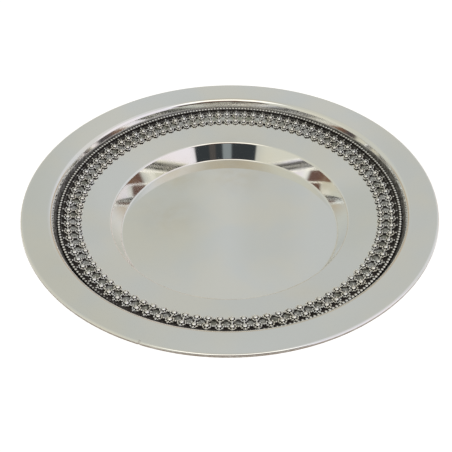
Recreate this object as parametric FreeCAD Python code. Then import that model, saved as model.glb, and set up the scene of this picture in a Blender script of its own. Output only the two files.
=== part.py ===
import FreeCAD, Part
import math
import os
from FreeCAD import Vector

# Small round silver presentation plate: a spun sheet dish with a wire-edged rim, and a blackened
# track near the rim that carries two rows of soldered rosettes and a beaded wire.
# Millimetres. +Z is up, the axis of the plate is the Z axis, and the plate rests on Z = 0.

# Sheet body
plate_radius = 75.75
plate_height = 18.85
sheet = 0.7
rim_wire_d = 1.5
rim_inner_radius = 66.6
rim_drop = 1.49
rim_bend = 2.0
cove_wall_angle = 74.0
cove_radius = 2.5
flange_slope = 13.8
well_edge_radius = 45.6
well_depth = 7.27
well_wall_angle = 66.5
well_edge_bend = 1.1
well_foot_bend = 0.8

# Blackened strip under the rosettes, bent into a ring with a butt joint midway between two rosettes
strip_inner_radius = 56.7
strip_width = 5.75
strip_thickness = 0.3
strip_joint_gap = 0.25
strip_joint_after = 32

# Rosettes: a collar with eight granules on it round one domed boss. The sizes are for the outer row;
# the inner row's rosettes are smaller in the ratio of the rows' radii.
rosettes_per_row = 96
outer_row_radius = 60.5
inner_row_radius = 56.75
granules_per_rosette = 8
granule_ring_radius = 1.28
granule_radius = 0.32
granule_lift = 0.44
collar_inner_radius = 0.93
collar_outer_radius = 1.40
collar_height = 0.30
boss_radius = 0.82
boss_lift = 0.30

# Clearance at each side of the single granules that link the rosettes and the beaded wire
link_gap = 0.01

# Beaded wire in the cove: three beads for each rosette
beads_per_rosette = 3
bead_radius = 0.72

# Room that a cutting solid is given past the piece it trims
spare = 5.0

Z_AXIS = Vector(0, 0, 1)
ORIGIN = Vector(0, 0, 0)


def section_point(radius, height):
    return Vector(radius, 0, height)


def rounded_path(corners):
    """Open wire in the XZ half plane. Each corner is (point, bend radius); the two ends have none."""
    edges = []
    start = corners[0][0]
    for before, here, after in zip(corners, corners[1:], corners[2:]):
        corner, bend = here
        back = (before[0] - corner).normalize()
        onward = (after[0] - corner).normalize()
        half_angle = back.getAngle(onward) / 2
        reach = bend / math.tan(half_angle)
        towards_centre = (back + onward).normalize()
        centre = corner + towards_centre * (bend / math.sin(half_angle))
        first = corner + back * reach
        middle = centre - towards_centre * bend
        last = corner + onward * reach
        edges.append(Part.LineSegment(start, first).toShape())
        edges.append(Part.Arc(first, middle, last).toShape())
        start = last
    edges.append(Part.LineSegment(start, corners[-1][0]).toShape())
    return Part.Wire(edges)


def meet(point_a, angle_a, point_b, angle_b):
    """Where two lines of the section cross; each has a point and a slope angle in degrees."""
    slope_a = math.tan(math.radians(angle_a))
    slope_b = math.tan(math.radians(angle_b))
    radius = (point_b.z - point_a.z + slope_a * point_a.x - slope_b * point_b.x) / (slope_a - slope_b)
    return section_point(radius, point_a.z + slope_a * (radius - point_a.x))


def lathe(face):
    return face.revolve(ORIGIN, Z_AXIS, 360)


def spread(shape, count):
    """Copies of one solid at equal steps round the plate's axis."""
    copies = []
    for index in range(count):
        copy = shape.copy()
        copy.rotate(ORIGIN, Z_AXIS, index * 360.0 / count)
        copies.append(copy)
    return copies


# Corners of the upper surface, from the middle of the floor out to the edge wire
rim_angle = math.degrees(math.atan(rim_drop / (plate_radius - rim_wire_d / 2 - rim_inner_radius)))
floor_centre = section_point(0, sheet)
well_edge = section_point(well_edge_radius, sheet + well_depth)
wire_centre = section_point(plate_radius - rim_wire_d / 2, plate_height - rim_wire_d / 2)
rim_edge = section_point(wire_centre.x, plate_height)
rim_inner = section_point(rim_inner_radius, plate_height - rim_drop)
rim_bend_reach = rim_bend * math.tan(math.radians(cove_wall_angle - rim_angle) / 2)
cove_top = rim_inner - (rim_edge - rim_inner).normalize() * rim_bend_reach
cove_foot = meet(cove_top, cove_wall_angle, well_edge, flange_slope)
well_bend_reach = well_edge_bend * math.tan(math.radians(well_wall_angle - flange_slope) / 2)
well_top = well_edge - (cove_foot - well_edge).normalize() * well_bend_reach
well_foot = meet(well_top, well_wall_angle, floor_centre, 0)

# Height of the upper surface along the flange and track, and its directions
slope = math.radians(flange_slope)
outward = Vector(math.cos(slope), 0, math.sin(slope))
normal = Vector(-math.sin(slope), 0, math.cos(slope))


def on_flange(radius, lift=0.0):
    """Point of the flange line at a radius, raised square to the slope by lift."""
    along = (radius - well_edge.x) / math.cos(slope)
    return well_edge + outward * along + normal * lift


def edge_wire():
    section = Part.Circle(wire_centre, Vector(0, 1, 0), rim_wire_d / 2).toShape()
    return lathe(Part.Face(Part.Wire([section])))


def plate_body():
    upper = rounded_path([
        (floor_centre, 0),
        (well_foot, well_foot_bend),
        (well_top, well_edge_bend),
        (cove_foot, cove_radius),
        (cove_top, rim_bend),
        (rim_edge, 0),
    ])
    section = upper.makeOffset2D(-sheet, 0, True, True)
    return lathe(section).cut(edge_wire()).Solids[0]


def track_strip():
    inner = on_flange(strip_inner_radius)
    outer = inner + outward * strip_width
    lift = normal * strip_thickness
    section = Part.makePolygon([inner, outer, outer + lift, inner + lift, inner])
    ring = lathe(Part.Face(section))
    joint = Part.makeBox(2 * spare + strip_width, strip_joint_gap, 2 * spare)
    joint.translate(Vector(strip_inner_radius - spare, -strip_joint_gap / 2, inner.z - spare))
    joint.rotate(ORIGIN, Z_AXIS, (strip_joint_after + 0.5) * 360.0 / rosettes_per_row)
    return ring.cut(joint)


def below_strip():
    """Solid under the strip's upper face, which trims flat feet on whatever is soldered to it."""
    low = on_flange(strip_inner_radius - spare, strip_thickness)
    high = on_flange(plate_radius, strip_thickness)
    drop = Vector(0, 0, -spare)
    section = Part.makePolygon([low, high, high + drop, low + drop, low])
    return lathe(Part.Face(section))


def seat(shape, row_radius):
    """Stand a shape made at the origin on the strip's upper face and trim its foot to that face."""
    shape.rotate(ORIGIN, Vector(0, 1, 0), -flange_slope)
    shape.translate(on_flange(row_radius, strip_thickness))
    return shape.cut(below_strip())


def row_scale(row_radius):
    return row_radius / outer_row_radius


def granule_ring(row_radius):
    """One collar with its granules, standing on the strip."""
    scale = row_scale(row_radius)
    height = collar_height * scale + strip_thickness
    collar = Part.makeCylinder(collar_outer_radius * scale, height, Vector(0, 0, -strip_thickness))
    bore = Part.makeCylinder(collar_inner_radius * scale, height, Vector(0, 0, -strip_thickness))
    balls = []
    for index in range(granules_per_rosette):
        angle = 2 * math.pi * index / granules_per_rosette
        ring_radius = granule_ring_radius * scale
        centre = Vector(ring_radius * math.cos(angle), ring_radius * math.sin(angle), granule_lift * scale)
        balls.append(Part.makeSphere(granule_radius * scale, centre))
    return seat(collar.cut(bore).multiFuse(balls), row_radius)


def boss(row_radius):
    scale = row_scale(row_radius)
    return seat(Part.makeSphere(boss_radius * scale, Vector(0, 0, boss_lift * scale)), row_radius)


def bead_centre():
    """Centre of a bead that lies in the cove, touching it on the line that halves the cove's angle."""
    wall = Vector(math.cos(math.radians(cove_wall_angle)), 0, math.sin(math.radians(cove_wall_angle)))
    half_angle = wall.getAngle(outward * -1) / 2
    towards_centre = (wall - outward).normalize()
    return cove_foot + towards_centre * (cove_radius / math.sin(half_angle) - cove_radius + bead_radius)


def granule_centre(row_radius, outward_share, sideways_share):
    """Centre of the outermost granule of a rosette on one side, for the rosette that stands on +X."""
    scale = row_scale(row_radius)
    along = outward * (granule_ring_radius * outward_share * scale)
    across = Vector(0, granule_ring_radius * sideways_share * scale, 0)
    return on_flange(row_radius, strip_thickness + granule_lift * scale) + along + across


def bridge(centre_a, radius_a, centre_b, radius_b):
    """Granule that just fills the space between two round neighbours."""
    line = centre_b - centre_a
    gap = line.Length - radius_a - radius_b
    middle = centre_a + line.normalize() * (radius_a + gap / 2)
    return Part.makeSphere(gap / 2 - link_gap, middle)


def neighbour_link(row_radius):
    """Granule between the rosette on +X and the next one of its row."""
    radius = granule_radius * row_scale(row_radius)
    here = granule_centre(row_radius, 0, 1)
    there = Vector(here.x, -here.y, here.z)
    there = FreeCAD.Rotation(Z_AXIS, 360.0 / rosettes_per_row).multVec(there)
    return bridge(here, radius, there, radius)


def row_link():
    """Granule between the two rows' rosettes on +X."""
    inner = granule_centre(inner_row_radius, 1, 0)
    outer = granule_centre(outer_row_radius, -1, 0)
    return bridge(inner, granule_radius * row_scale(inner_row_radius), outer, granule_radius)


def wire_link():
    """Granule between the outer row's rosette on +X and the beaded wire."""
    return bridge(granule_centre(outer_row_radius, 1, 0), granule_radius, bead_centre(), bead_radius)


def beaded_wire():
    """One ring of beads, each cut square where it meets the next, sewn into a single closed skin."""
    bead_count = beads_per_rosette * rosettes_per_row
    half_step = math.radians(180.0 / bead_count)
    centre = bead_centre()
    ball = Part.makeSphere(bead_radius, centre, Vector(0, 1, 0))
    near = centre.x - spare
    far = centre.x + spare
    wedge = Part.Face(Part.makePolygon([
        Vector(near, -near * math.tan(half_step), 0),
        Vector(far, -far * math.tan(half_step), 0),
        Vector(far, far * math.tan(half_step), 0),
        Vector(near, near * math.tan(half_step), 0),
        Vector(near, -near * math.tan(half_step), 0),
    ])).extrude(Vector(0, 0, plate_height))
    bead = ball.common(wedge)
    skin = [face for face in bead.Faces if isinstance(face.Surface, Part.Sphere)]
    ring = Part.makeCompound(spread(Part.makeCompound(skin), bead_count))
    ring.sewShape()
    return Part.makeSolid(ring.Shells[0])


def write(name, shape):
    shape.exportStep(os.path.join("parts", name + ".step"))


os.makedirs("parts", exist_ok=True)
write("plate_body", plate_body())
write("rim_edge_wire", edge_wire())
write("track_backing_strip", track_strip())
write("beaded_wire", beaded_wire())
repeated = {
    "outer_granule_rings": granule_ring(outer_row_radius),
    "outer_rosette_bosses": boss(outer_row_radius),
    "outer_neighbour_granules": neighbour_link(outer_row_radius),
    "inner_granule_rings": granule_ring(inner_row_radius),
    "inner_rosette_bosses": boss(inner_row_radius),
    "inner_neighbour_granules": neighbour_link(inner_row_radius),
    "row_link_granules": row_link(),
    "wire_link_granules": wire_link(),
}
for name, piece in repeated.items():
    write(name, Part.makeCompound(spread(piece, rosettes_per_row)))
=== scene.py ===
import math

import bpy
import numpy as np
from mathutils import Matrix, Vector


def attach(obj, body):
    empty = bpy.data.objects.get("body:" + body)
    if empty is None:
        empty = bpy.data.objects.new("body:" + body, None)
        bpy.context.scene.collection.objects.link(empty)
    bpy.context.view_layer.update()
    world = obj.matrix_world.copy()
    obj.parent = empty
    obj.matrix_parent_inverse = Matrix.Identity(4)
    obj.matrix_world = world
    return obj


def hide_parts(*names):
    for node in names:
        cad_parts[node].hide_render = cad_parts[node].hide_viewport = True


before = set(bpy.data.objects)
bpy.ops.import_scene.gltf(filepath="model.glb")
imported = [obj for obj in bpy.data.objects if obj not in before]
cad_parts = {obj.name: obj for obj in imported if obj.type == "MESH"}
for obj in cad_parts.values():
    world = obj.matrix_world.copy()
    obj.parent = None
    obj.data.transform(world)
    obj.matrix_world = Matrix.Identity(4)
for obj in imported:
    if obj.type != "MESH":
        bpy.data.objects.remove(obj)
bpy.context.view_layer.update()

# A small round silver presentation plate. Lengths below are in millimetres in the row's frame:
# +Z up, the plate's axis on Z, and the underside of the well on Z = 0.
MM = 0.001
RNG = np.random.default_rng(7)

# ---------------------------------------------------------------- sizes, as the frame has them
PLATE_RADIUS = 75.75
PLATE_HEIGHT = 18.85
SHEET = 0.7
EDGE_WIRE_R = 0.75
RIM_INNER_R = 66.6
RIM_DROP = 1.49
RIM_BEND = 2.0
COVE_WALL = math.radians(74.0)
COVE_BEND = 2.5
FLANGE_SLOPE = math.radians(13.8)
WELL_EDGE_R = 45.6
WELL_DEPTH = 7.27
WELL_WALL = math.radians(66.5)
WELL_EDGE_BEND = 1.1
WELL_FOOT_BEND = 0.8
STRIP_INNER_R = 56.7
STRIP_WIDTH = 5.75
STRIP_THICKNESS = 0.3
STRIP_JOINT_GAP = 0.25
STRIP_JOINT_AT = math.radians(32.5 * 3.75)

ROSETTES = 96
OUTER_ROW_R = 60.5
INNER_ROW_R = 56.75
GRANULES = 8
GRANULE_RING_R = 1.28
GRANULE_R = 0.32
GRANULE_LIFT = 0.44
COLLAR_INNER_R = 0.93
COLLAR_OUTER_R = 1.40
COLLAR_HEIGHT = 0.30
BOSS_R = 0.82
BOSS_LIFT = 0.30
LINK_GAP = 0.01
BEADS = 3 * ROSETTES
BEAD_R = 0.72

# How much hand-soldered pieces differ: shares of their size, a length and an angle
BEAD_SIZE_SPREAD = 0.03
BOSS_SIZE_SPREAD = 0.03
GRANULE_SIZE_SPREAD = 0.05
GRANULE_REACH_SPREAD = 0.02
GRANULE_SPIN_SPREAD = math.radians(3.0)

# Blackening: real oxide in hollows, and in places painted highlight and painted shade. An upward share
# is the height of a surface's unit normal. A fade is how far past its limit, in the same measure, the
# blackening takes to become full.
BEAD_HIGHLIGHT_ABOVE = 0.90     # a bead is kept bright only where its surface's upward share is above this: a painted highlight; below it the blackening is partly real oxide, partly painted shade
BEAD_FADE = 0.26
BEAD_SHADE_AT = math.radians(-105.0)   # painted shade: the beads at the front are blackened to their crests
BEAD_SHADE_SPREAD = math.radians(30.0)
BEAD_SHADE_RISE = 0.35
BOSS_HIGHLIGHT_ABOVE = 0.53     # painted highlight: a boss is kept bright only above this upward share and blackened below it
BOSS_FADE = 0.20
GROOVE_R = 1.07       # a rosette's ring is blackened from here in to its boss
GROOVE_FADE = 0.10
RING_FOOT = 0.06      # and fully blackened up to this height over the strip
RING_FOOT_FADE = 0.18
# painted shade laid over a whole row of rosettes: the outer row is darkened, the inner row not
OUTER_ROW_SHADE = 0.08
INNER_ROW_SHADE = 0.0
LINK_SOOT_MIDDLE = 0.75   # blackening of a link granule at half its height
LINK_SOOT_SLOPE = 1.2     # and how fast it falls from there upwards
STRIP_PALE_SHARE = 0.55   # the pale spot between four rosettes, a painted pool of light: how pale, how wide and how soft it is
STRIP_PALE_R = 1.75
STRIP_PALE_FADE = 0.9
STRIP_PALE_STRETCH = 0.8
LIT_BACK_AT = math.radians(88.0)        # painted light: the blackening is made thinnest here, at the back of the track, where light falls into the hollows that face the viewer
LIT_BACK_SPREAD = math.radians(20.0)
LIT_BACK_SHARE = 0.42
WIRE_REFLECTION_BELOW = 0.62     # the edge wire is clean where its surface's upward share is above this; below it, it gets a painted brown reflection of a dark surround
WIRE_FADE = 0.25
WIRE_SEAM_AT = math.radians(-111.0)   # soldered joint of the edge wire, at the front left
WIRE_SEAM_HALF_WIDTH = 0.35
WIRE_SEAM_DEPTH = 0.12
WIRE_SEAM_DIRT = 0.5
SOOT_FROM_R = 62.0    # the plate is blackened behind the beaded wire, starting here
SOOT_FULL_R = 62.3
SOOT_TOP_Z = 14.2     # top of the blackening on the cove's wall at the back
SOOT_AND_SHADE_SIDE_TOP_Z = 15.4    # and its top at the sides and front, where the band reaching higher up the wall is painted shade
SOOT_FADE = 0.35
SOOT_BACK_FROM = 0.20     # the top falls between these shares of the way to the back
SOOT_BACK_TO = 0.70
SOOT_LOWEST_NORMAL = -0.2     # the sheet's underside, below this upward share, stays clean

TURNS = 384           # steps round the plate in the turned pieces
ARC_STEPS = 12        # steps along each bend of a section
COLLAR_BEVEL = 0.06
BURIED = 0.1          # how far a collar goes on below the face it stands on


# ---------------------------------------------------------------- the plate's section
def unit(v):
    return v / np.linalg.norm(v)


def heading(angle):
    return np.array([math.cos(angle), math.sin(angle)])


def meet(point_a, direction_a, point_b, direction_b):
    """Where two lines of the section cross."""
    steps = np.linalg.solve(np.column_stack([direction_a, -direction_b]), point_b - point_a)
    return point_a + direction_a * steps[0]


EDGE_WIRE_CENTRE = np.array([PLATE_RADIUS - EDGE_WIRE_R, PLATE_HEIGHT - EDGE_WIRE_R])
RIM_EDGE = np.array([EDGE_WIRE_CENTRE[0], PLATE_HEIGHT])
RIM_INNER = np.array([RIM_INNER_R, PLATE_HEIGHT - RIM_DROP])
RIM_DIRECTION = unit(RIM_EDGE - RIM_INNER)
RIM_ANGLE = math.atan2(RIM_DIRECTION[1], RIM_DIRECTION[0])
COVE_TOP = RIM_INNER - RIM_DIRECTION * RIM_BEND * math.tan((COVE_WALL - RIM_ANGLE) / 2)
WELL_EDGE = np.array([WELL_EDGE_R, SHEET + WELL_DEPTH])
OUTWARD = heading(FLANGE_SLOPE)
NORMAL = heading(FLANGE_SLOPE + math.pi / 2)
COVE_FOOT = meet(COVE_TOP, heading(COVE_WALL), WELL_EDGE, OUTWARD)
WELL_TOP = WELL_EDGE - OUTWARD * WELL_EDGE_BEND * math.tan((WELL_WALL - FLANGE_SLOPE) / 2)
WELL_FOOT = meet(WELL_TOP, heading(WELL_WALL), np.array([0.0, SHEET]), heading(0.0))


def rounded_section(corners):
    """Points and upward normals along a section whose corners, (point, bend radius), are rounded."""
    points, normals = [corners[0][0]], []
    for (before, _), (corner, bend), (after, _) in zip(corners, corners[1:], corners[2:]):
        back, onward = unit(before - corner), unit(after - corner)
        half = math.acos(float(np.dot(back, onward))) / 2
        middle = unit(back + onward)
        centre = corner + middle * bend / math.sin(half)
        first = corner + back * bend / math.tan(half) - centre
        turn = math.pi - 2 * half
        sign = 1.0 if back[0] * onward[1] - back[1] * onward[0] < 0 else -1.0
        start = math.atan2(first[1], first[0])
        for step in range(ARC_STEPS + 1):
            radial = heading(start + sign * turn * step / ARC_STEPS)
            points.append(centre + bend * radial)
            normals.append(-sign * radial)
        if len(normals) == ARC_STEPS + 1:
            normals.insert(0, normals[0])
    points.append(corners[-1][0])
    normals.append(normals[-1])
    return np.array(points), np.array(normals)


def with_radii(points, normals, radii):
    """The same section with points added on it at the given radii, all on one straight stretch."""
    at = int(np.searchsorted(points[:, 0], radii[0]))
    share = (np.array(radii) - points[at - 1, 0]) / (points[at, 0] - points[at - 1, 0])
    added = points[at - 1] + share[:, None] * (points[at] - points[at - 1])
    added_normals = np.tile(normals[at], (len(radii), 1))
    return np.insert(points, at, added, axis=0), np.insert(normals, at, added_normals, axis=0)


def on_flange(radius, lift=0.0):
    """Point of the flange's line at a radius, raised square to it."""
    along = (radius - WELL_EDGE[0]) / math.cos(FLANGE_SLOPE)
    return WELL_EDGE + OUTWARD * along + NORMAL * lift


def bead_centre():
    """Centre of a bead that lies in the cove between the flange's line and the wall's."""
    wall = heading(COVE_WALL)
    half = math.acos(float(np.dot(wall, -OUTWARD))) / 2
    return COVE_FOOT + unit(wall - OUTWARD) * (COVE_BEND / math.sin(half) - COVE_BEND + BEAD_R)


# ---------------------------------------------------------------- meshes
def make_piece(name, points, faces, normals=None, soot_and_painted_light=None):
    """A smooth mesh object from points in millimetres. soot_and_painted_light is each point's
    darkening, 0 to 1: real blackening in places, painted shade, painted highlight and painted
    reflection in others.
    """
    mesh = bpy.data.meshes.new(name)
    mesh.from_pydata((np.asarray(points) * MM).tolist(), [], faces)
    mesh.polygons.foreach_set("use_smooth", np.ones(len(mesh.polygons), bool))
    if normals is not None:
        mesh.normals_split_custom_set_from_vertices(np.asarray(normals).tolist())
    if soot_and_painted_light is not None:
        layer = mesh.attributes.new("soot_and_painted_light", "FLOAT", "POINT")
        layer.data.foreach_set("value", np.asarray(soot_and_painted_light, np.float32))
    mesh.validate()
    mesh.update()
    piece = bpy.data.objects.new(name, mesh)
    bpy.context.scene.collection.objects.link(piece)
    return piece


def grid_faces(rows, columns, wrap_rows=False, wrap_columns=True):
    """Quads of a grid of points numbered row by row."""
    i = np.arange(rows if wrap_rows else rows - 1)[:, None]
    j = np.arange(columns if wrap_columns else columns - 1)[None, :]
    i_next, j_next = (i + 1) % rows, (j + 1) % columns
    quads = np.stack([i * columns + j, i_next * columns + j,
                      i_next * columns + j_next, i * columns + j_next], axis=-1)
    return quads.reshape(-1, 4)


def even_turns(count):
    return 2 * math.pi * np.arange(count) / count


def swept(pairs, angles):
    """(radius, height) pairs turned round the Z axis to each of the angles, row by row."""
    cos, sin = np.cos(angles)[None, :], np.sin(angles)[None, :]
    r, z = pairs[:, 0][:, None], pairs[:, 1][:, None]
    return np.stack([r * cos, r * sin, z + 0 * cos], axis=-1).reshape(-1, 3)


def turned(section, section_normals, closed=False, poles=False, angles=None, wrap=True):
    """Points, faces and normals of a section turned round the Z axis, in even steps or at angles."""
    if angles is None:
        angles = even_turns(TURNS)
    columns = len(angles)
    inside = slice(1, -1) if poles else slice(None)
    ring_section = section[inside]
    points = swept(ring_section, angles)
    normals = swept(section_normals[inside], angles)
    faces = grid_faces(len(ring_section), columns, wrap_rows=closed, wrap_columns=wrap).tolist()
    if poles:
        first, last = len(points), len(points) + 1
        points = np.vstack([points, [[0, 0, section[0][1]], [0, 0, section[-1][1]]]])
        normals = np.vstack([normals, [[0, 0, section_normals[0][1]],
                                       [0, 0, section_normals[-1][1]]]])
        base = (len(ring_section) - 1) * columns
        for j in range(columns):
            k = (j + 1) % columns
            faces.append([first, j, k])
            faces.append([last, base + k, base + j])
    return points, faces, normals


def ball(radius, centre, columns, rows, lowest=-1.0):
    """Upper part of a sphere: points, normals and faces. lowest is the height of its rim, in radii."""
    bottom = math.acos(lowest)
    normals = [[0.0, 0.0, 1.0]]
    for row in range(1, rows + 1):
        polar = bottom * row / rows
        for column in range(columns):
            turn = 2 * math.pi * (column + 0.5 * (row % 2)) / columns
            normals.append([math.sin(polar) * math.cos(turn), math.sin(polar) * math.sin(turn),
                            math.cos(polar)])
    normals = np.array(normals)
    faces = [[0, 1 + j, 1 + (j + 1) % columns] for j in range(columns)]
    faces += (grid_faces(rows, columns) + 1).tolist()
    return normals * radius + np.array(centre), normals, faces


def joined(parts):
    """One set of points, normals and faces from several."""
    points, normals, faces, start = [], [], [], 0
    for part_points, part_normals, part_faces in parts:
        points.append(part_points)
        normals.append(part_normals)
        faces += [[start + index for index in face] for face in part_faces]
        start += len(part_points)
    return np.vstack(points), np.vstack(normals), faces


def local_axes(angle):
    """Outward, sideways and upward directions of the track at an angle round the plate."""
    cos, sin = math.cos(angle), math.sin(angle)
    outward = np.array([OUTWARD[0] * cos, OUTWARD[0] * sin, OUTWARD[1]])
    sideways = np.array([-sin, cos, 0.0])
    upward = np.array([NORMAL[0] * cos, NORMAL[0] * sin, NORMAL[1]])
    return np.array([outward, sideways, upward])


def place(points, normals, row_radius, angle):
    """Move points from a rosette's own frame, on the strip, to its place on the plate."""
    axes = local_axes(angle)
    r, z = on_flange(row_radius, STRIP_THICKNESS)
    origin = np.array([r * math.cos(angle), r * math.sin(angle), z])
    return points @ axes + origin, normals @ axes


def clamp01(values):
    return np.clip(values, 0.0, 1.0)


def thinned_at_lit_back(points):
    """Share of the blackening that is left at each point. At the back of the track it is thinned as
    painted light, where light falls into the hollows that face the viewer.
    """
    away = np.arctan2(points[:, 1], points[:, 0]) - LIT_BACK_AT
    return 1.0 - LIT_BACK_SHARE * np.exp(-(away / LIT_BACK_SPREAD) ** 2)


# ---------------------------------------------------------------- materials
SILVER_WARM = (0.940, 0.926, 0.882)
SILVER_COOL = (0.900, 0.912, 0.915)
# real oxide in crevices, and the painted shade round the painted highlights of beads and bosses
BLACKENED_AND_SHADE = (0.062, 0.054, 0.052)
TARNISH = (0.78, 0.66, 0.46)
# dull brown of the edge wire: painted reflection on its lower side, real dirt in its soldered joint
WIRE_DIRT_AND_REFLECTION = (0.31, 0.255, 0.205)
# colour of the cove's real blackening and of its painted shade
COVE_DIRT_AND_SHADE = (0.085, 0.080, 0.074)
SCRATCH_TURNS = (0.35, 1.25, 2.2)     # headings of the three sets of hairline scratches, radians
# Yellowed patches on the floor and flange of the plate: x, y, radius in mm, strength
TARNISH_PATCHES = (
    (-24.0, 6.0, 20.0, 0.30),
    (4.0, 33.0, 22.0, 0.38),
    (-21.0, 30.0, 15.0, 0.45),
    (-56.0, -38.0, 20.0, 0.25),
    (30.0, -46.0, 18.0, 0.12),
)
PATCH_HEIGHT = 5.0    # height of the patches' centres
CLOUDY = 1.8          # how many times rougher polished silver gets where its polish is cloudy
UNEVEN = 1.7          # and small silver work where it is least polished
SOOT_ROUGHNESS = 0.60     # roughness that a full coat of soot adds to polished silver
GRIME_ROUGHNESS = 0.30    # and to small silver work


class Tree:
    """Short calls for the nodes of one material."""

    def __init__(self, name):
        self.material = bpy.data.materials.new(name)
        self.material.use_nodes = True
        self.nodes = self.material.node_tree.nodes
        self.links = self.material.node_tree.links
        self.nodes.clear()
        output = self.nodes.new("ShaderNodeOutputMaterial")
        self.shader = self.nodes.new("ShaderNodeBsdfPrincipled")
        self.links.new(self.shader.outputs[0], output.inputs[0])

    def put(self, socket, value):
        if isinstance(value, bpy.types.NodeSocket):
            self.links.new(value, socket)
        elif isinstance(value, tuple) and len(value) == 3 and socket.type == "RGBA":
            socket.default_value = (*value, 1.0)
        else:
            socket.default_value = value

    def set(self, name, value):
        self.put(self.shader.inputs[name], value)

    def math(self, operation, a, b=0.0):
        node = self.nodes.new("ShaderNodeMath")
        node.operation = operation
        self.put(node.inputs[0], a)
        self.put(node.inputs[1], b)
        return node.outputs[0]

    def object_point(self, scale=(1.0, 1.0, 1.0), turn=0.0):
        """The place on the piece, in metres of the row's frame."""
        coordinates = self.nodes.new("ShaderNodeTexCoord")
        mapping = self.nodes.new("ShaderNodeMapping")
        self.links.new(coordinates.outputs["Object"], mapping.inputs["Vector"])
        mapping.inputs["Rotation"].default_value = (0.0, 0.0, turn)
        mapping.inputs["Scale"].default_value = scale
        return mapping.outputs[0]

    def noise(self, feature_mm, detail=2.0, stretch=1.0, turn=0.0):
        """Noise whose blobs are feature_mm across, or stretch times that along one direction."""
        node = self.nodes.new("ShaderNodeTexNoise")
        across = 1.0 / (feature_mm * MM)
        point = self.object_point((across / stretch, across, across), turn)
        self.links.new(point, node.inputs["Vector"])
        node.inputs["Scale"].default_value = 1.0
        node.inputs["Detail"].default_value = detail
        return node.outputs[0]

    def ramp(self, value, low, high, out_low=0.0, out_high=1.0):
        node = self.nodes.new("ShaderNodeMapRange")
        node.interpolation_type = "SMOOTHSTEP"
        self.put(node.inputs["Value"], value)
        self.put(node.inputs["From Min"], low)
        self.put(node.inputs["From Max"], high)
        self.put(node.inputs["To Min"], out_low)
        self.put(node.inputs["To Max"], out_high)
        return node.outputs[0]

    def mix(self, share, first, second):
        node = self.nodes.new("ShaderNodeMix")
        node.data_type = "RGBA"
        self.put(node.inputs[0], share)
        self.put(node.inputs[6], first)
        self.put(node.inputs[7], second)
        return node.outputs[2]

    def soot_and_painted_light(self):
        node = self.nodes.new("ShaderNodeAttribute")
        node.attribute_name = "soot_and_painted_light"
        return node.outputs["Fac"]

    def bump(self, height, depth_mm, strength=1.0, below=None):
        node = self.nodes.new("ShaderNodeBump")
        node.inputs["Strength"].default_value = strength
        node.inputs["Distance"].default_value = depth_mm * MM
        self.put(node.inputs["Height"], height)
        if below is not None:
            self.links.new(below, node.inputs["Normal"])
        return node.outputs[0]


def patch(tree, x, y, radius):
    """Share of a round patch at a place on the plate, 1 at its middle."""
    node = tree.nodes.new("ShaderNodeVectorMath")
    node.operation = "DISTANCE"
    tree.links.new(tree.object_point(), node.inputs[0])
    node.inputs[1].default_value = (x * MM, y * MM, PATCH_HEIGHT * MM)
    return tree.ramp(node.outputs["Value"], radius * MM, 0.0)


def polished_silver(name, roughness, coat_colour, tarnished=False):
    """Hand-polished sterling silver: uneven tint, cloudy polish, hairline scratches, and a dull coat
    of the colour coat_colour where the soot_and_painted_light attribute asks for it: real soot in
    places, painted shade and painted reflection in others."""
    tree = Tree(name)
    colour = tree.mix(tree.ramp(tree.noise(26.0, 3.0), 0.38, 0.62), SILVER_WARM, SILVER_COOL)
    cloud = tree.noise(9.0, 4.0)
    if tarnished:
        stain = 0.0
        for x, y, radius, strength in TARNISH_PATCHES:
            stain = tree.math("ADD", tree.math("MULTIPLY", patch(tree, x, y, radius), strength), stain)
        stain = tree.math("MULTIPLY", stain, tree.ramp(tree.noise(7.0, 5.0), 0.30, 0.70, 0.35, 1.0))
        colour = tree.mix(stain, colour, TARNISH)
    # the attribute brings real soot together with painted shade and painted reflection into the colour
    soot_and_painted_light = tree.math("MULTIPLY", tree.soot_and_painted_light(), tree.ramp(tree.noise(1.2, 3.0), 0.25, 0.60, 0.7, 1.0))
    tree.set("Base Color", tree.mix(soot_and_painted_light, colour, coat_colour))
    tree.set("Metallic", tree.math("SUBTRACT", 1.0, soot_and_painted_light))
    worn = tree.ramp(cloud, 0.35, 0.70, roughness, roughness * CLOUDY)
    tree.set("Roughness", tree.math("ADD", worn, tree.math("MULTIPLY", soot_and_painted_light, SOOT_ROUGHNESS)))
    scratches = 0.0
    for index, turn in enumerate(SCRATCH_TURNS):
        lines = tree.ramp(tree.noise(0.16 + 0.03 * index, 1.0, stretch=90.0, turn=turn), 0.62, 0.74)
        scratches = tree.math("ADD", lines, scratches)
    dents = tree.bump(tree.noise(22.0, 0.0), 0.020, 0.4)
    tree.set("Normal", tree.bump(scratches, -0.0003, 0.4, below=dents))
    return tree.material


def granulated_silver(name, roughness, base=None):
    """Small silver work, blackened in its crevices, with painted highlights where its blackening
    leaves it bright and painted shade in some of its dark.
    """
    tree = Tree(name)
    colour = tree.mix(tree.ramp(tree.noise(3.5, 3.0), 0.35, 0.65), base or SILVER_WARM, SILVER_COOL)
    darkness_offset = tree.ramp(tree.noise(0.5, 3.0), 0.30, 0.70, -0.12, 0.12)
    soot_and_painted_light = tree.ramp(tree.math("ADD", tree.soot_and_painted_light(), darkness_offset), 0.15, 0.75)
    tree.set("Base Color", tree.mix(soot_and_painted_light, colour, BLACKENED_AND_SHADE))
    tree.shader.inputs["Metallic"].default_value = 1.0
    worn = tree.ramp(tree.noise(0.8, 3.0), 0.3, 0.7, roughness, roughness * UNEVEN)
    tree.set("Roughness", tree.math("ADD", worn, tree.math("MULTIPLY", soot_and_painted_light, GRIME_ROUGHNESS)))
    tree.set("Normal", tree.bump(tree.noise(0.30, 3.0), 0.008, 0.5))
    return tree.material


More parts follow.
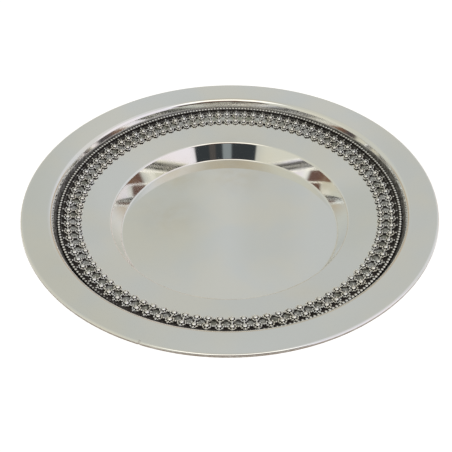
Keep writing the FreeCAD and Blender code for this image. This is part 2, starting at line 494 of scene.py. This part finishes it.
# ---------------------------------------------------------------- pieces
def plate_body():
    """The spun sheet, with the blackening that the beaded wire lies against: real in the cove corner,
    painted shade where it reaches higher up the wall at the sides and front, and thinned at the back
    as painted light.
    """
    upper, upper_normals = rounded_section([
        (np.array([0.0, SHEET]), 0.0),
        (WELL_FOOT, WELL_FOOT_BEND),
        (WELL_TOP, WELL_EDGE_BEND),
        (COVE_FOOT, COVE_BEND),
        (COVE_TOP, RIM_BEND),
        (RIM_EDGE - RIM_DIRECTION * EDGE_WIRE_R * math.sin(2 * RIM_ANGLE), 0.0),
    ])
    lower, lower_normals = (upper - upper_normals * SHEET)[::-1], -upper_normals[::-1]
    upper, upper_normals = with_radii(upper, upper_normals, (SOOT_FROM_R, SOOT_FULL_R))
    wall_rows = 5
    wall_heights = np.linspace(SOOT_TOP_Z + SOOT_FADE, SOOT_AND_SHADE_SIDE_TOP_Z, wall_rows)
    wall_radii = COVE_FOOT[0] + (wall_heights - COVE_FOOT[1]) / math.tan(COVE_WALL)
    upper, upper_normals = with_radii(upper, upper_normals, tuple(wall_radii))
    section = np.vstack([upper, lower])
    normals = np.vstack([upper_normals, lower_normals])
    points, faces, point_normals = turned(section, normals, poles=True)
    radius, height = np.hypot(points[:, 0], points[:, 1]), points[:, 2]
    behind_wire = clamp01((radius - SOOT_FROM_R) / (SOOT_FULL_R - SOOT_FROM_R))
    way_back = points[:, 1] / np.maximum(radius, 1.0)
    back = clamp01((way_back - SOOT_BACK_FROM) / (SOOT_BACK_TO - SOOT_BACK_FROM))
    # painted shade: the blackening reaches higher up the cove wall at the sides and front than at the
    # back
    top = SOOT_AND_SHADE_SIDE_TOP_Z + (SOOT_TOP_Z - SOOT_AND_SHADE_SIDE_TOP_Z) * back
    behind_wire *= clamp01((top - height) / SOOT_FADE)
    soot_and_painted_light = behind_wire * (point_normals[:, 2] > SOOT_LOWEST_NORMAL) * thinned_at_lit_back(points)
    piece = make_piece("plate_body_turned", points, faces, point_normals, soot_and_painted_light)
    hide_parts("plate_body")
    return piece


def edge_wire():
    """The wire round the rim, with the dimple of its soldered joint and dirt there, and a painted
    brown reflection on its lower side.
    """
    section_steps, seam_steps, seam_reach = 36, 17, 2
    around = even_turns(section_steps)
    section_normals = np.stack([np.cos(around), -np.sin(around)], axis=-1)
    near_seam = np.linspace(-seam_reach, seam_reach, seam_steps) * WIRE_SEAM_HALF_WIDTH / PLATE_RADIUS
    angles = np.unique(np.concatenate([even_turns(4 * TURNS) - math.pi, near_seam + WIRE_SEAM_AT]))
    points, faces, normals = turned(EDGE_WIRE_CENTRE + EDGE_WIRE_R * section_normals, section_normals,
                                    closed=True, angles=angles)
    arc = (np.arctan2(points[:, 1], points[:, 0]) - WIRE_SEAM_AT) * PLATE_RADIUS
    dimple = np.exp(-(arc / WIRE_SEAM_HALF_WIDTH) ** 2)
    points = points - normals * (WIRE_SEAM_DEPTH * dimple)[:, None]
    # painted reflection on the wire's lower side, and real dirt in its soldered joint
    soot_and_painted_light = clamp01((WIRE_REFLECTION_BELOW - normals[:, 2]) / WIRE_FADE) + WIRE_SEAM_DIRT * dimple
    piece = make_piece("edge_wire_turned", points, faces, normals, clamp01(soot_and_painted_light))
    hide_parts("rim_edge_wire")
    return piece


def backing_strip():
    """The blackened strip, with a painted pool of light making it paler in the middle of the space
    between each four rosettes; the dark round the rosettes is real oxide and painted shade.
    """
    steps_across, steps_per_rosette = 11, 8
    low = on_flange(STRIP_INNER_R)
    width = np.linspace(0.0, 1.0, steps_across) * STRIP_WIDTH
    top = low + OUTWARD * width[:, None] + NORMAL * STRIP_THICKNESS
    section = np.vstack([top, low + OUTWARD * STRIP_WIDTH, low])
    normals = np.vstack([np.tile(NORMAL, (len(top), 1)), -NORMAL, -NORMAL])
    half_gap = STRIP_JOINT_GAP / 2 / OUTER_ROW_R
    angles = np.linspace(half_gap, 2 * math.pi - half_gap, steps_per_rosette * ROSETTES)
    angles = angles + STRIP_JOINT_AT
    points, faces, point_normals = turned(section, normals, closed=True, angles=angles, wrap=False)
    step = 2 * math.pi / ROSETTES
    turn = np.arctan2(points[:, 1], points[:, 0]) / step
    radius = np.hypot(points[:, 0], points[:, 1])
    sideways = (turn - np.floor(turn) - 0.5) * step * radius
    inwards = radius - (INNER_ROW_R + OUTER_ROW_R) / 2
    spot = np.hypot(sideways, STRIP_PALE_STRETCH * inwards)
    # painted pool of light in the open middle of each space; the blackening is also thinned at the
    # back as painted light
    pale = STRIP_PALE_SHARE * clamp01((STRIP_PALE_R - spot) / STRIP_PALE_FADE)
    soot_and_painted_light = (1.0 - pale) * thinned_at_lit_back(points)
    piece = make_piece("backing_strip_ring", points, faces, point_normals, soot_and_painted_light)
    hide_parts("track_backing_strip")
    return piece


def beaded_wire():
    """The beads and the necks between them, as one tube whose radius swells at each bead."""
    steps, around = 10, 18
    centre = bead_centre()
    half = math.pi / BEADS
    swing = np.linspace(-1, 1, steps + 1)[:-1]
    phi = even_turns(around)
    rows, row_normals = [], []
    for bead in range(BEADS):
        grow = 1.0 + BEAD_SIZE_SPREAD * RNG.standard_normal()
        for s in swing:
            angle = 2 * math.pi * bead / BEADS + half * s
            along = centre[0] * math.sin(half * s)
            radius = math.sqrt(BEAD_R ** 2 - along ** 2)
            radius *= 1.0 + (grow - 1.0) * (1 - s * s)
            out = np.array([math.cos(angle), math.sin(angle), 0.0])
            side = np.array([-math.sin(angle), math.cos(angle), 0.0])
            ring = np.outer(np.cos(phi), out) + np.outer(np.sin(phi), [0, 0, 1])
            rows.append(ring * radius + out * centre[0] + np.array([0, 0, centre[1]]))
            lean = 0.0 if s == -1 else along / BEAD_R
            row_normals.append(ring * math.sqrt(1 - lean * lean) + side * lean)
    points = np.vstack(rows)
    normals = np.vstack(row_normals)
    # painted shade: the beads at the front are blackened up to their crests
    from_bead_shade = np.arctan2(points[:, 1], points[:, 0]) - BEAD_SHADE_AT
    crest = BEAD_HIGHLIGHT_ABOVE + BEAD_SHADE_RISE * np.exp(-(from_bead_shade / BEAD_SHADE_SPREAD) ** 2)
    # painted highlight on each bead's crest; the rest is blackened, partly as real oxide and partly as
    # painted shade
    soot_and_painted_light = clamp01((crest - normals[:, 2]) / BEAD_FADE)
    faces = grid_faces(len(rows), around, wrap_rows=True).tolist()
    piece = make_piece("beaded_wire_turned", points, faces, normals, soot_and_painted_light)
    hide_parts("beaded_wire")
    return piece


def collar(scale):
    """Low ring of a rosette in its own frame, as points, normals and faces."""
    columns, lean = 32, 0.3
    inner, outer = COLLAR_INNER_R * scale, COLLAR_OUTER_R * scale
    height, bevel = COLLAR_HEIGHT * scale, COLLAR_BEVEL
    section = np.array([[inner, -BURIED], [inner, height - bevel], [inner + bevel, height],
                        [outer - bevel, height], [outer, height - bevel], [outer, -BURIED]])
    section_normals = np.array([[-1, 0], [-1, lean], [-lean, 1], [lean, 1], [1, lean], [1, 0]])
    section_normals = section_normals / np.linalg.norm(section_normals, axis=1)[:, None]
    turns = even_turns(columns)
    faces = grid_faces(len(section), columns).tolist()
    return swept(section, turns), swept(section_normals, turns), faces


def size_draw():
    """How far one granule's or boss's size is off, kept from much outgrowing its neighbours."""
    return float(np.clip(RNG.standard_normal(), -2, 1))


def rosette_rings(row, row_radius, darkness_offset):
    """Collars with their granules, each a little different, as hand-soldered work is."""
    columns, rows, lowest = 12, 7, -0.85
    scale = row_radius / OUTER_ROW_R
    parts, dark_shares = [], []
    for index in range(ROSETTES):
        angle = 2 * math.pi * index / ROSETTES
        spin = GRANULE_SPIN_SPREAD * RNG.standard_normal()
        shapes = [collar(scale)]
        for granule in range(GRANULES):
            turn = 2 * math.pi * granule / GRANULES + spin
            reach = (GRANULE_RING_R + GRANULE_REACH_SPREAD * RNG.standard_normal()) * scale
            size = GRANULE_R * scale * (1.0 + GRANULE_SIZE_SPREAD * size_draw())
            centre = [reach * math.cos(turn), reach * math.sin(turn), GRANULE_LIFT * scale]
            shapes.append(ball(size, centre, columns, rows, lowest))
        points, normals, faces = joined(shapes)
        height = points[:, 2] / scale
        radius = np.hypot(points[:, 0], points[:, 1]) / scale
        low = 1.0 - (height - RING_FOOT) / RING_FOOT_FADE
        groove = (GROOVE_R - radius) / GROOVE_FADE
        # low and groove are real oxide at the foot and in the groove; darkness_offset adds the row's
        # painted shade
        dark_shares.append(clamp01(np.maximum(low, groove) + darkness_offset))
        placed, turned_normals = place(points, normals, row_radius, angle)
        parts.append((placed, turned_normals, faces))
    points, normals, faces = joined(parts)
    # thinned at the back of the track as painted light
    soot_and_painted_light = np.concatenate(dark_shares) * thinned_at_lit_back(points)
    piece = make_piece(row + "_collars_with_granules", points, faces, normals, soot_and_painted_light)
    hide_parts(row + "_granule_rings")
    return piece


def bosses(row, row_radius):
    """The domes in the middle of a row's rosettes."""
    columns, rows, lowest = 24, 10, -0.7
    scale = row_radius / OUTER_ROW_R
    parts, dark_shares = [], []
    for index in range(ROSETTES):
        size = BOSS_R * scale * (1.0 + BOSS_SIZE_SPREAD * size_draw())
        points, normals, faces = ball(size, [0, 0, BOSS_LIFT * scale], columns, rows, lowest)
        # painted highlight: each dome is blackened everywhere but its top
        dark_shares.append(clamp01((BOSS_HIGHLIGHT_ABOVE - normals[:, 2]) / BOSS_FADE))
        placed, turned_normals = place(points, normals, row_radius, 2 * math.pi * index / ROSETTES)
        parts.append((placed, turned_normals, faces))
    points, normals, faces = joined(parts)
    piece = make_piece(row + "_domes", points, faces, normals, np.concatenate(dark_shares))
    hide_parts(row + "_rosette_bosses")
    return piece


def granule_centre(row_radius, outward_share, sideways_share, angle):
    """Centre of a rosette's outermost granule on one side."""
    scale = row_radius / OUTER_ROW_R
    local = np.array([[GRANULE_RING_R * outward_share * scale,
                       GRANULE_RING_R * sideways_share * scale, GRANULE_LIFT * scale]])
    return place(local, local, row_radius, angle)[0][0]


def links(name, node, ends):
    """One granule between the two round neighbours that ends gives for each rosette."""
    columns, rows = 12, 8
    parts, dark_shares = [], []
    for index in range(ROSETTES):
        (centre_a, radius_a), (centre_b, radius_b) = ends(index)
        line = centre_b - centre_a
        gap = np.linalg.norm(line) - radius_a - radius_b
        middle = centre_a + unit(line) * (radius_a + gap / 2)
        points, normals, faces = ball(gap / 2 - LINK_GAP, [0, 0, 0], columns, rows)
        dark_shares.append(clamp01(LINK_SOOT_MIDDLE - LINK_SOOT_SLOPE * points[:, 2] / gap))
        parts.append((points + middle, normals, faces))
    points, normals, faces = joined(parts)
    piece = make_piece(name, points, faces, normals, np.concatenate(dark_shares))
    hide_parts(node)
    return piece


def neighbour_ends(row_radius):
    """Facing granules of two rosettes that stand side by side in a row, as (centre, radius) pairs."""
    radius = GRANULE_R * row_radius / OUTER_ROW_R
    step = 2 * math.pi / ROSETTES
    return lambda index: ((granule_centre(row_radius, 0, 1, step * index), radius),
                          (granule_centre(row_radius, 0, -1, step * (index + 1)), radius))


def row_ends(index):
    """Facing granules of an inner rosette and the outer one beyond it."""
    angle = 2 * math.pi * index / ROSETTES
    return ((granule_centre(INNER_ROW_R, 1, 0, angle), GRANULE_R * INNER_ROW_R / OUTER_ROW_R),
            (granule_centre(OUTER_ROW_R, -1, 0, angle), GRANULE_R))


def wire_ends(index):
    """Outermost granule of an outer rosette and the bead beyond it."""
    angle = 2 * math.pi * index / ROSETTES
    r, z = bead_centre()
    bead = np.array([r * math.cos(angle), r * math.sin(angle), z])
    return (granule_centre(OUTER_ROW_R, 1, 0, angle), GRANULE_R), (bead, BEAD_R)


# ---------------------------------------------------------------- build
body_silver = polished_silver("body_silver", 0.045, COVE_DIRT_AND_SHADE, tarnished=True)
wire_silver = polished_silver("edge_wire_silver", 0.07, WIRE_DIRT_AND_REFLECTION)
bead_silver = granulated_silver("bead_silver", 0.14)
ring_silver = granulated_silver("ring_silver", 0.33, base=(0.93, 0.905, 0.83))
boss_silver = granulated_silver("boss_silver", 0.13)
link_silver = granulated_silver("link_silver", 0.20)
# its pale base shows in the painted pools of light on the strip; the rest of the strip is blackened
oxidised = granulated_silver("oxidised_silver", 0.22, base=(0.44, 0.45, 0.385))

pieces = [(plate_body(), body_silver), (edge_wire(), wire_silver), (backing_strip(), oxidised),
          (beaded_wire(), bead_silver)]
for row, row_radius, darkness_offset in (("outer", OUTER_ROW_R, OUTER_ROW_SHADE),
                               ("inner", INNER_ROW_R, INNER_ROW_SHADE)):
    pieces.append((rosette_rings(row, row_radius, darkness_offset), ring_silver))
    pieces.append((bosses(row, row_radius), boss_silver))
    neighbour_links = links(row + "_links", row + "_neighbour_granules", neighbour_ends(row_radius))
    pieces.append((neighbour_links, link_silver))
pieces.append((links("row_links", "row_link_granules", row_ends), link_silver))
pieces.append((links("wire_links", "wire_link_granules", wire_ends), link_silver))
for piece, material in pieces:
    piece.data.materials.append(material)
    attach(piece, "root")


# ---------------------------------------------------------------- studio
# The room round the plate, seen in its polish. Directions are in degrees: azimuth 0 is to the right,
# 90 is away from the viewer, and elevation 90 is straight up. A panel is its azimuth, half width,
# lowest and highest elevation, width of its soft edge, and colour. Later panels cover earlier ones.
ROOM = (0.532, 0.540, 0.510)
BACKDROP = (0.97, 0.97, 0.97)
FLOOR_HALF_SIZE = 4.0     # metres
FLOOR_GREY = (0.42, 0.42, 0.42)
FLOOR_GLOW = 0.78
PANELS = (
    (0.0, 68.0, -95.0, 95.0, 40.0, (0.69, 0.69, 0.69)),
    (180.0, 68.0, -95.0, 95.0, 40.0, (0.60, 0.60, 0.535)),
    (90.0, 20.0, 34.0, 50.0, 8.0, (0.555, 0.565, 0.540)),
    (89.5, 4.5, 34.0, 50.0, 6.0, (0.562, 0.573, 0.553)),
    (99.0, 6.5, 31.0, 46.0, 7.0, (0.517, 0.523, 0.478)),
    (84.5, 3.5, 34.0, 46.0, 4.0, (0.532, 0.538, 0.505)),
    (90.0, 60.0, -60.0, 14.0, 12.0, (0.50, 0.40, 0.28)),
    (-90.0, 50.0, 42.0, 76.0, 14.0, (1.35, 1.31, 1.20)),
    (-28.0, 30.0, -6.0, 50.0, 12.0, (0.88, 0.84, 0.90)),
    (-148.0, 26.0, -6.0, 50.0, 12.0, (0.68, 0.67, 0.58)),
    (0.0, 181.0, 76.0, 100.0, 12.0, (0.52, 0.485, 0.405)),
    (-84.0, 15.0, 30.0, 45.0, 8.0, (0.150, 0.088, 0.072)),
    (-84.0, 30.0, 16.0, 33.0, 6.0, (0.190, 0.105, 0.068)),
    (-84.0, 30.0, 16.0, 24.0, 5.0, (0.085, 0.074, 0.080)),
    (-90.0, 40.0, -12.0, 7.0, 2.5, (0.45, 0.42, 0.32)),
    (-87.5, 29.5, 7.0, 18.0, 2.5, (0.036, 0.042, 0.046)),
    (-75.0, 3.0, 7.0, 18.0, 2.5, (0.080, 0.074, 0.070)),
    (-89.0, 4.2, 7.0, 18.0, 2.0, (0.25, 0.285, 0.30)),
)


def studio():
    """The room as the world's light, a pale backdrop and a pale floor."""
    world = bpy.data.worlds.new("studio")
    bpy.context.scene.world = world
    world.use_nodes = True
    nodes, link = world.node_tree.nodes, world.node_tree.links.new

    def calculate(operation, a, b=0.0, c=0.0):
        node = nodes.new("ShaderNodeMath")
        node.operation = operation
        for socket, value in zip(node.inputs, (a, b, c)):
            if isinstance(value, bpy.types.NodeSocket):
                link(value, socket)
            else:
                socket.default_value = value
        return node.outputs[0]

    def fade(value, start, end):
        node = nodes.new("ShaderNodeMapRange")
        node.interpolation_type = "SMOOTHSTEP"
        link(value, node.inputs["Value"])
        node.inputs["From Min"].default_value = start
        node.inputs["From Max"].default_value = end
        return node.outputs[0]

    coordinates = nodes.new("ShaderNodeTexCoord")
    parts = nodes.new("ShaderNodeSeparateXYZ")
    link(coordinates.outputs["Generated"], parts.inputs[0])
    degree = 180.0 / math.pi
    azimuth = calculate("MULTIPLY", calculate("ARCTAN2", parts.outputs[1], parts.outputs[0]), degree)
    elevation = calculate("MULTIPLY", calculate("ARCSINE", parts.outputs[2]), degree)
    colour = None
    for centre, half_width, low, high, edge, tint in PANELS:
        turn = calculate("WRAP", calculate("SUBTRACT", azimuth, centre), 180.0, -180.0)
        away = calculate("ABSOLUTE", turn)
        inside = fade(away, half_width + edge / 2, half_width - edge / 2)
        above = fade(elevation, low - edge / 2, low + edge / 2)
        below = fade(elevation, high + edge / 2, high - edge / 2)
        mix = nodes.new("ShaderNodeMix")
        mix.data_type = "RGBA"
        link(calculate("MULTIPLY", calculate("MULTIPLY", inside, above), below), mix.inputs[0])
        if colour is None:
            mix.inputs[6].default_value = (*ROOM, 1.0)
        else:
            link(colour, mix.inputs[6])
        mix.inputs[7].default_value = (*tint, 1.0)
        colour = mix.outputs[2]
    seen = nodes.new("ShaderNodeLightPath")
    backdrop = nodes.new("ShaderNodeMix")
    backdrop.data_type = "RGBA"
    link(seen.outputs["Is Camera Ray"], backdrop.inputs[0])
    link(colour, backdrop.inputs[6])
    backdrop.inputs[7].default_value = (*BACKDROP, 1.0)
    link(backdrop.outputs[2], nodes["Background"].inputs[0])

    size = FLOOR_HALF_SIZE
    mesh = bpy.data.meshes.new("studio_floor")
    corners = [(-size, -size, 0), (size, -size, 0), (size, size, 0), (-size, size, 0)]
    mesh.from_pydata(corners, [], [(0, 1, 2, 3)])
    floor = bpy.data.objects.new("studio_floor", mesh)
    bpy.context.scene.collection.objects.link(floor)
    tree = Tree("studio_floor_white")
    tree.set("Base Color", FLOOR_GREY)
    tree.set("Roughness", 0.9)
    tree.set("Emission Color", (1.0, 1.0, 1.0))
    tree.set("Emission Strength", FLOOR_GLOW)
    mesh.materials.append(tree.material)


def camera():
    """Looks down on the plate from its front, close enough for a strong perspective."""
    distance, elevation, azimuth = 230.1, math.radians(38.64), math.radians(-0.53)
    pan, tilt, roll = -0.0055, -0.0634, -0.0101     # small turns away from the target, in radians
    lens, sensor_width, target_height = 49.17, 36.0, 19.0
    eye = np.array([0.0, -distance * math.cos(elevation), distance * math.sin(elevation)])
    forward = -unit(eye)
    right = np.array([1.0, 0.0, 0.0])
    up = np.cross(right, forward)
    forward = unit(forward + pan * right + tilt * up)
    right = unit(np.cross(forward, up))
    up = np.cross(right, forward)
    right, up = (math.cos(roll) * right + math.sin(roll) * up,
                 -math.sin(roll) * right + math.cos(roll) * up)
    eye = eye + np.array([0, 0, target_height])
    rotation = Matrix(np.column_stack([right, up, -forward]).tolist()).to_4x4()
    data = bpy.data.cameras.new("camera")
    data.lens = lens
    data.sensor_width = sensor_width
    view = bpy.data.objects.new("camera", data)
    turn = Matrix.Rotation(azimuth, 4, "Z")
    view.matrix_world = turn @ Matrix.Translation(Vector(eye * MM)) @ rotation
    data.clip_start = 0.01
    bpy.context.scene.collection.objects.link(view)
    bpy.context.scene.camera = view


studio()
camera()
bpy.context.scene.view_settings.view_transform = "Standard"
